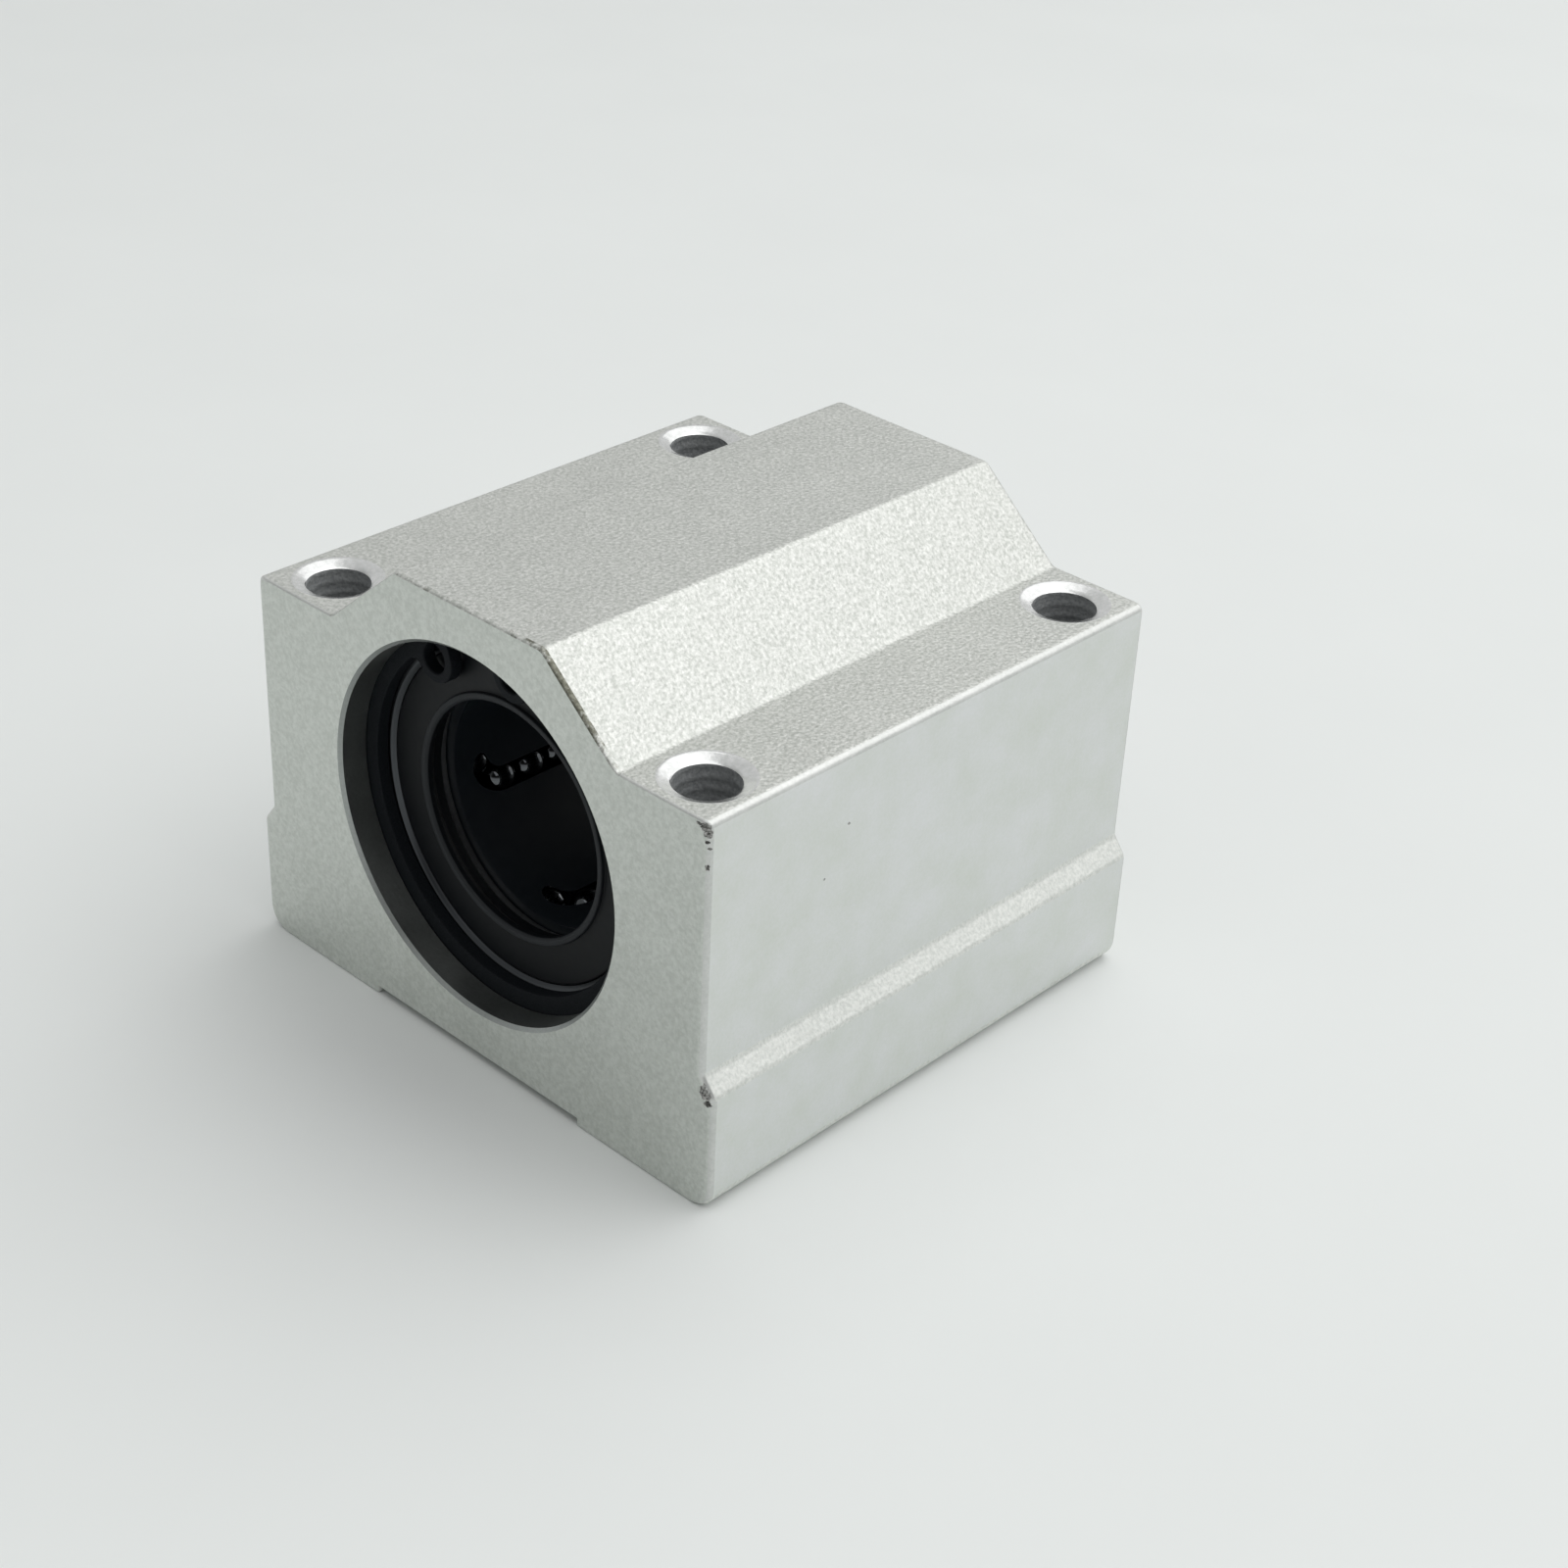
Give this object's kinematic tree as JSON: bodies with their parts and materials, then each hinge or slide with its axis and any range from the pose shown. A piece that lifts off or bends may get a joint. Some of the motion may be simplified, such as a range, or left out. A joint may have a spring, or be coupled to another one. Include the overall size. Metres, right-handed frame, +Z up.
{
  "type": "linear bearing block",
  "caption": "Aluminium block with bolt flanges and a raised hump, holding a sealed recirculating ball bushing for a round shaft.",
  "frame": {"origin": "middle of the foot face, under the middle of the bore", "axes": "+Y along the shaft bore, +Z up from the foot face to the hump, +X across the block"},
  "size_m": [0.054, 0.05, 0.041],
  "materials": {
    "housing_aluminium": "bead blasted and clear anodised, sawn end faces",
    "phosphated_spring_steel": "black phosphated and oiled",
    "ground_bearing_steel": "hardened and ground",
    "black_cage_resin": "moulded",
    "polished_ball_steel": "polished",
    "plain_ring_steel": "stamped",
    "black_seal_rubber": "moulded nitrile rubber"
  },
  "bodies": {
    "root": {"housing": "housing_aluminium", "retaining_ring_front": "phosphated_spring_steel", "retaining_ring_rear": "phosphated_spring_steel", "bearing_sleeve": "ground_bearing_steel", "ball_cage": "black_cage_resin", "ball_circuit_1": "polished_ball_steel", "ball_circuit_2": "polished_ball_steel", "ball_circuit_3": "polished_ball_steel", "ball_circuit_4": "polished_ball_steel", "ball_circuit_5": "polished_ball_steel", "end_ring_front": "plain_ring_steel", "end_ring_rear": "plain_ring_steel", "seal_front": "black_seal_rubber", "seal_rear": "black_seal_rubber"}
  },
  "joints": []
}
